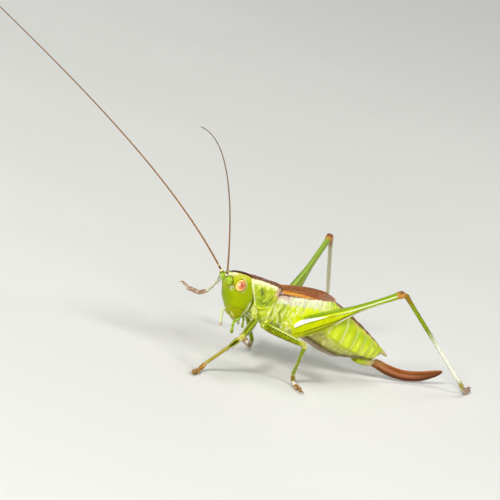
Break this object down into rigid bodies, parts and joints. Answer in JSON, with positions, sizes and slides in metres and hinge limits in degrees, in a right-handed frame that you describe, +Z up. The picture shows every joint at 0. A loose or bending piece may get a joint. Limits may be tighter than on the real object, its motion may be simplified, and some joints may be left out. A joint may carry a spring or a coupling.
{
  "type": "long-horned grasshopper model",
  "caption": "Life-size still model of a female long-horned grasshopper with short wings, a curved egg-laying blade and very long feelers.",
  "frame": {"origin": "on the floor, at the middle of the whole model's box, feelers included", "axes": "+Z up, -Y the way the insect faces, +X its left side"},
  "size_m": [0.0388, 0.054, 0.0278],
  "materials": {
    "face": "satin yellow-green cuticle",
    "eye": "glossy facets, orange-pink with a pale yellow rim",
    "feeler": "satin orange-brown, darker to the tip",
    "palp": "satin green with brown tips",
    "shield": "satin green flanks, cream band and dark purple-brown back",
    "thorax": "satin yellow-green plates with dark creases",
    "wing": "satin reddish-brown, paler rim",
    "abdomen": "satin yellow-green with pale seams, brown back and belly",
    "blade": "satin reddish-brown horn",
    "thigh": "satin green with rows of fine dark dots, white sheen",
    "shin": "satin green to straw brown",
    "foot": "satin brown"
  },
  "bodies": {
    "root": {"abdomen_1": "abdomen", "abdomen_2": "abdomen", "abdomen_3": "abdomen", "abdomen_4": "abdomen", "cercus_left": "abdomen", "cercus_right": "abdomen", "eye_left": "eye", "eye_right": "eye", "feeler_left_1": "feeler", "feeler_left_2": "feeler", "feeler_left_3": "feeler", "feeler_right_1": "feeler", "feeler_right_2": "feeler", "feeler_right_3": "feeler", "fore_left_coxa": "thorax", "fore_left_femur": "thigh", "fore_left_tarsus": "foot", "fore_left_tibia": "shin", "fore_right_coxa": "thorax", "fore_right_femur": "thigh", "fore_right_tarsus": "foot", "fore_right_tibia": "shin", "head_capsule": "face", "hind_left_coxa": "thorax", "hind_left_femur": "thigh", "hind_left_tarsus": "foot", "hind_left_tibia": "shin", "hind_right_coxa": "thorax", "hind_right_femur": "thigh", "hind_right_tarsus": "foot", "hind_right_tibia": "shin", "labial_palp_left": "palp", "labial_palp_right": "palp", "labrum": "face", "mandible_left": "face", "mandible_right": "face", "maxillary_palp_left": "palp", "maxillary_palp_right": "palp", "mid_left_coxa": "thorax", "mid_left_femur": "thigh", "mid_left_tarsus": "foot", "mid_left_tibia": "shin", "mid_right_coxa": "thorax", "mid_right_femur": "thigh", "mid_right_tarsus": "foot", "mid_right_tibia": "shin", "ovipositor": "blade", "pronotum": "shield", "scape_left": "face", "scape_right": "face", "subgenital_plate": "abdomen", "tegmen_left": "wing", "tegmen_right": "wing", "thorax": "thorax"}
  },
  "joints": []
}
